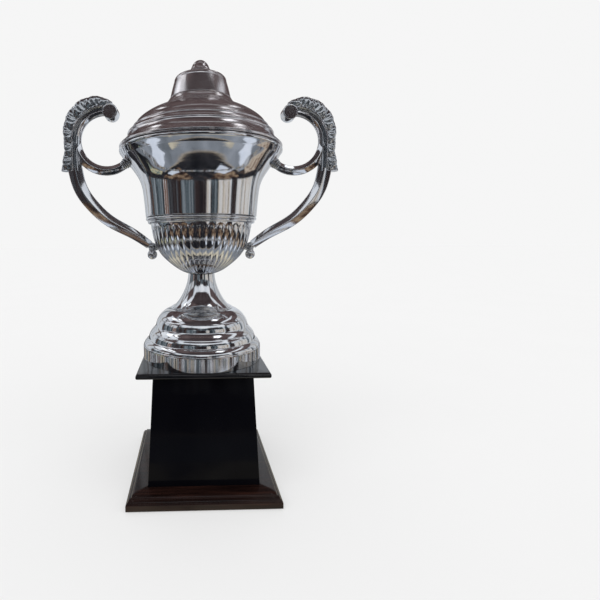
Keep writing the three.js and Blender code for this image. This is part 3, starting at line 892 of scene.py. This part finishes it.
lid_chrome = chrome("lid_chrome", tint=(0.78, 0.75, 0.76), dull=0.12, wave=0.00002)
cover = turned_mesh("lid_cover_spun", cover_profile, bottom_of("lid_cover"))
add_piece("lid_cover_spun", cover, lid_chrome, "chrome", "lid", "lid_cover")

locating_profile = outline(
    arc(129.4, 0.8, 0.8, -180, 0, 8),
    (130.2, 24.4),
    (128.6, 24.4),
)
locating = turned_mesh("lid_locating_ring", locating_profile, bottom_of("lid_locating_band"))
add_piece("lid_locating_ring", locating, spun_chrome, "chrome", "lid", "lid_locating_band")

# --- Lid: neck, knob and their fixing ----------------------------------------------------------
# A hollow bell-shaped neck stands on the cover under a small solid knob. One screw from inside
# the lid, with a washer under its head, holds both.

neck_height = (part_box("lid_knob")[0].z - bottom_of("lid_neck")) / MM
neck_profile = outline(
    (52.0, 0),
    arc(53.4, 0.9, 0.9, -90, 80, 8),
    flowing(20, (53.2, 2.0), (51.4, 9.6), (49.1, 18.6), (46.4, 28.0), (45.2, 32.0)),
    arc(37.6, 31.4, 7.8, 8, 70, 16),
    flowing(14, (39.6, 39.0), (34.0, 40.9), (28.0, 43.0), (22.6, 45.6)),
    (20.4, neck_height - 0.3),
    (SCREW_HOLE, neck_height - 0.3),
    (SCREW_HOLE, neck_height - 1.8),
    (20, 44.4),
    flowing(8, (28.0, 41.4), (37.0, 38.0), (43.4, 33.0)),
    (51.0, 2.0),
)
neck = turned_mesh("lid_neck_spun", neck_profile, bottom_of("lid_neck"), steps=160)
add_piece("lid_neck_spun", neck, lid_chrome, "chrome", "lid", "lid_neck")

knob_height = (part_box("lid_knob")[1].z - bottom_of("lid_knob")) / MM
knob_profile = outline(
    (0, 0),
    (21.0, 0),
    arc(21.0, 0.8, 0.8, -90, 80, 8),
    flowing(
        40,
        *[(20.4, 1.8), (18.2, 4.4), (16.0, 8.0), (14.4, 11.8), (12.2, 15.2), (8.9, 18.8)],
        *[(4.6, knob_height - 0.8), (0, knob_height)],
    ),
)
knob = turned_mesh("lid_knob_turned", knob_profile, bottom_of("lid_knob"), steps=120)
add_piece("lid_knob_turned", knob, lid_chrome, "chrome", "lid", "lid_knob")
refinish(zinc, "lid_washer", "lid_screw")

# --- Studio -----------------------------------------------------------------------------------
# A pale floor under even light. Reflections alone see a small room round the metal: a table with a
# pale front edge, papers and boxes on a dark floor, striped walls, high windows and a dark ceiling.


def glow(name, *stops, scale=3.0, stretch=(1, 1, 1), detail=3, strength=1.0):
    """An even light that changes over the card by a ramp on stretched noise."""
    finish = Finish(name)
    shade = finish.noise(scale, stretch, detail)
    finish.drive("Emission Color", shade, *stops)
    finish.set(Base_Color=(0, 0, 0, 1), Roughness=1.0, Specular_IOR_Level=0.0)
    finish.set(Emission_Strength=strength)
    return finish.material


def card(name, points, material):
    """A stage mesh that lights reflections and nothing else."""
    made = bpy.data.objects.new(name, mesh_from_grid(name, points))
    made.data.materials.append(material)
    made.visible_camera = False
    made.visible_diffuse = False
    made.visible_transmission = False
    made.visible_shadow = False
    bpy.context.scene.collection.objects.link(made)


def level(x, y, z):
    """The grid of a level rectangle between two x and two y places at a height."""
    return np.array([[(x[0], y[0], z), (x[1], y[0], z)], [(x[0], y[1], z), (x[1], y[1], z)]], float)


def drum(radius, azimuths, heights):
    """The grid of a piece of an upright drum. Azimuth 0 is in front and 90 on the right."""
    angle = np.radians(np.linspace(*azimuths, 49))[:, None]
    height = np.array(heights, float)[None, :]
    across = radius * np.sin(angle) + 0 * height
    depth = -radius * np.cos(angle) + 0 * height
    return np.stack([across, depth, height + 0 * angle], axis=2)


def table_ring(inner, outer, height):
    """The grid of a strip of a table's rounded front, between two distances from its centre."""
    angle = np.linspace(-0.95, 0.95, 49)[:, None] / EDGE_ROUND
    reach = np.array([inner, outer])[None, :]
    across = reach * np.sin(angle)
    depth = TABLE_FRONT + EDGE_ROUND - reach * np.cos(angle)
    return np.stack([across, depth, height + 0 * across], axis=2)


ROOM = 2.0
WINDOW_SILL = 1.3
CEILING = 2.0
TABLE_FRONT = -0.386
TABLE_DEPTH = 1.3
EDGE_WIDTH = 0.015
EDGE_ROUND = 8.0
LAYER = 0.0004
NIGHT = (0.010, 0.011, 0.014)
UMBER = (0.10, 0.055, 0.040)
SLATE = (0.11, 0.14, 0.16)
PALE = (0.72, 0.76, 0.82)
WARM = (0.62, 0.54, 0.44)
UPRIGHT = (1, 1, 0.04)

striped = glow(
    "striped_wall",
    *[(0.36, NIGHT), (0.44, UMBER), (0.48, SLATE), (0.54, NIGHT), (0.62, SLATE), (0.66, PALE)],
    scale=3.4,
    stretch=(1, 1, 0.06),
    detail=5,
)
window = glow(
    "high_windows",
    *[(0.30, SLATE), (0.37, PALE), (0.7, (0.95, 0.97, 1.0))],
    scale=1.6,
    stretch=(1, 1, 0.3),
)
back_wall = glow(
    "back_wall",
    *[(0.34, SLATE), (0.40, (0.42, 0.44, 0.47)), (0.5, PALE)],
    *[(0.6, (0.50, 0.50, 0.49)), (0.68, UMBER)],
    scale=6,
    stretch=(1, 1, 0.05),
)
card("walls", drum(ROOM, (-180, 180), (0, WINDOW_SILL)), striped)
card("windows", drum(ROOM, (-62, 62), (WINDOW_SILL, CEILING)), window)
card("side_window", drum(ROOM - 0.03, (-128, -98), (WINDOW_SILL + 0.1, CEILING)), window)
card("back_wall", drum(ROOM - 0.03, (114, 246), (0, WINDOW_SILL)), back_wall)

ceiling = glow("ceiling", (0.3, (0.060, 0.042, 0.042)), (0.7, (0.14, 0.105, 0.105)), scale=2.0)
dark_ceiling = glow(
    "dark_ceiling", (0.3, (0.040, 0.030, 0.032)), (0.7, (0.075, 0.060, 0.062)), scale=2.0
)
beam = glow("light_beam", (0.3, (0.42, 0.44, 0.46)), (0.7, (0.66, 0.66, 0.68)), scale=4)
lamp = glow("lamps", (0.3, (0.9, 0.94, 1.0)), (0.7, (1, 1, 1)), strength=1.7)
card("ceiling", level((-ROOM, ROOM), (-ROOM, ROOM), CEILING), window)
card("ceiling_panel", level((-1.42, 1.55), (-1.9, 1.9), CEILING - 0.02), ceiling)
card("front_ceiling", level((-1.42, 1.55), (-1.9, -0.62), CEILING - 0.03), dark_ceiling)
card("ceiling_beam", level((-0.60, 0.95), (0.0, 0.11), CEILING - 0.03), beam)
card("upper_wall", drum(ROOM, (62, 298), (WINDOW_SILL, CEILING)), ceiling)
LAMPS = [
    (-1.25, 0.1, 0.07, 0.4),
    (0.72, -0.35, 0.18, 0.2),
    (0.62, 0.55, 0.08, 0.2),
    (-0.70, 0.75, 0.08, 0.2),
    (-1.66, 0.5, 0.2, 0.28),
]
for number, (x, y, wide, deep) in enumerate(LAMPS):
    card(f"lamp_{number}", level((x - wide, x + wide), (y - deep, y + deep), CEILING - 0.04), lamp)

pale_strip = glow(
    "pale_strips",
    *[(0.3, UMBER), (0.42, WARM), (0.5, PALE), (0.6, WARM), (0.68, SLATE)],
    scale=15,
    stretch=UPRIGHT,
)
slate_strip = glow(
    "slate_strips", (0.35, NIGHT), (0.5, SLATE), (0.62, (0.30, 0.33, 0.36)), scale=15, stretch=UPRIGHT
)
night_strip = glow(
    "night_strips", (0.35, NIGHT), (0.55, (0.05, 0.035, 0.035)), (0.68, SLATE), scale=15, stretch=UPRIGHT
)
warm_strip = glow(
    "warm_strips", (0.35, UMBER), (0.5, (0.22, 0.12, 0.08)), (0.62, PALE), scale=15, stretch=UPRIGHT
)
STRIPS = [
    (-104, -78, slate_strip),
    (-76, -66, warm_strip),
    (-64, -42, night_strip),
    (-38, -17, slate_strip),
    (-14, 8, night_strip),
    (9, 16, pale_strip),
    (20, 28, slate_strip),
    (31, 55, pale_strip),
    (57, 66, night_strip),
    (69, 108, pale_strip),
]
for number, (start, end, material) in enumerate(STRIPS):
    card(f"strip_{number}", drum(ROOM - 0.03, (start, end), (0.02, 0.8)), material)
for number, (start, end) in enumerate([(-42, -12), (12, 42)]):
    card(f"flag_{number}", drum(ROOM - 0.04, (start, end), (0.95, 1.4)), night_strip)

table = glow("table_top", (0.3, (0.13, 0.145, 0.165)), (0.7, (0.34, 0.37, 0.42)), scale=3.2)
edge = glow("table_edge", (0.3, (0.42, 0.34, 0.25)), (0.7, (0.58, 0.50, 0.39)), scale=5)
beyond = glow(
    "dark_floor", (0.35, NIGHT), (0.55, (0.03, 0.03, 0.035)), (0.7, (0.10, 0.07, 0.055)), scale=2.6
)
paper = glow("white_paper", (0.3, (0.68, 0.74, 0.85)), (0.7, (0.80, 0.85, 0.95)), scale=6)
rug = glow("rug", (0.40, NIGHT), (0.50, UMBER), (0.58, (0.40, 0.30, 0.20)), (0.64, UMBER), scale=3)
sheet = glow("sheet", (0.3, (0.60, 0.66, 0.77)), (0.7, (0.74, 0.79, 0.88)))
teal_box = glow(
    "teal_box",
    *[(0.35, (0.03, 0.12, 0.16)), (0.5, (0.62, 0.54, 0.34)), (0.65, (0.04, 0.16, 0.20))],
    scale=7,
)
brown_box = glow(
    "brown_box", (0.35, (0.13, 0.06, 0.04)), (0.5, WARM), (0.65, (0.16, 0.08, 0.05)), scale=7
)
cloth = glow(
    "cloth",
    *[(0.36, (0.24, 0.24, 0.23)), (0.5, (0.56, 0.51, 0.40)), (0.64, (0.78, 0.72, 0.58))],
    scale=6,
)
low_stripes = glow(
    "low_stripes",
    *[(0.38, NIGHT), (0.43, UMBER), (0.46, PALE), (0.50, NIGHT)],
    *[(0.54, SLATE), (0.58, WARM), (0.62, NIGHT)],
    scale=13,
    stretch=(1, 1, 0.05),
    detail=4,
)
card("beyond", level((-ROOM, ROOM), (-ROOM, ROOM), LAYER), beyond)
card("table", table_ring(EDGE_ROUND - TABLE_DEPTH, EDGE_ROUND - EDGE_WIDTH, 2 * LAYER), table)
card("table_front", table_ring(EDGE_ROUND - EDGE_WIDTH, EDGE_ROUND, 2 * LAYER), edge)
for number, side in enumerate((-1, 1)):
    side_light = drum(ROOM - 0.02, (side * 66, side * 112), (0.82, WINDOW_SILL))
    card(f"side_light_{number}", side_light, back_wall)
    card(f"paper_{number}", level((side * 0.50, side * 0.74), (-0.20, 0.02), 3 * LAYER), paper)
    card(f"rug_{number}", level((side * 0.45, side * 1.5), (-1.6, -0.46), 3 * LAYER), rug)
card("cloth", level((-0.36, 0.36), (-0.23, 0.4), 3.5 * LAYER), cloth)
card("teal_box", level((-1.25, -0.95), (-0.25, 0.25), 4 * LAYER), teal_box)
card("brown_box", level((0.85, 1.25), (-0.1, 0.45), 4 * LAYER), brown_box)
card("sheet_left", level((-0.98, -0.57), (-0.68, -0.45), 4 * LAYER), sheet)
card("sheet_right", level((0.33, 0.72), (-0.80, -0.45), 4 * LAYER), sheet)
card("low_screen", drum(0.75, (-180, 180), (0, 0.06)), low_stripes)

BACKDROP = 0.92
FLOOR_GLOW = 0.455
FLOOR_HALF = 40.0
SUN_WIDTH = 50
floor_paint = Finish("pale_floor")
specks = floor_paint.noise(3.0)
floor_paint.drive("Base Color", specks, (0.3, 0.378), (0.7, 0.384))
floor_paint.set(Roughness=1.0, Specular_IOR_Level=0.0)
floor_paint.set(Emission_Color=(1, 1, 1, 1), Emission_Strength=FLOOR_GLOW)
floor_reach = (-FLOOR_HALF, FLOOR_HALF)
floor = bpy.data.objects.new("floor", mesh_from_grid("floor", level(floor_reach, floor_reach, 0)))
floor.data.materials.append(floor_paint.material)
bpy.context.scene.collection.objects.link(floor)

world = bpy.data.worlds.new("studio")
bpy.context.scene.world = world
world.use_nodes = True
world.node_tree.nodes["Background"].inputs["Color"].default_value = (BACKDROP,) * 3 + (1,)
world.cycles_visibility.glossy = False

for name, place, energy in [("key", (-2.0, -2.6, 3.0), 1.0), ("fill", (2.6, -2.0, 2.0), 0.5)]:
    light = bpy.data.lights.new(name, "SUN")
    light.angle = np.radians(SUN_WIDTH)
    light.energy = energy
    sun = bpy.data.objects.new(name, light)
    sun.rotation_euler = (-Vector(place)).to_track_quat("-Z", "Y").to_euler()
    sun.visible_glossy = False
    bpy.context.scene.collection.objects.link(sun)

CAMERA_BACK = 0.721
CAMERA_HEIGHT = 0.425
LOOK_DOWN = 5.04
LEAN = -0.31
ROUND_TO_LEFT = -1.5
camera_data = bpy.data.cameras.new("camera")
camera_data.lens = 23.85
camera_data.shift_x = 0.1642
camera_data.shift_y = -0.0370
camera = bpy.data.objects.new("camera", camera_data)
round_axis = Matrix.Rotation(np.radians(ROUND_TO_LEFT), 3, "Z")
camera.location = round_axis @ Vector((0, -CAMERA_BACK, CAMERA_HEIGHT))
tilt = Matrix.Rotation(np.radians(90 - LOOK_DOWN), 3, "X")
lean = Matrix.Rotation(np.radians(LEAN), 3, "Z")
camera.rotation_euler = (round_axis @ tilt @ lean).to_euler()
bpy.context.scene.collection.objects.link(camera)
bpy.context.scene.camera = camera
bpy.context.scene.view_settings.view_transform = "Standard"
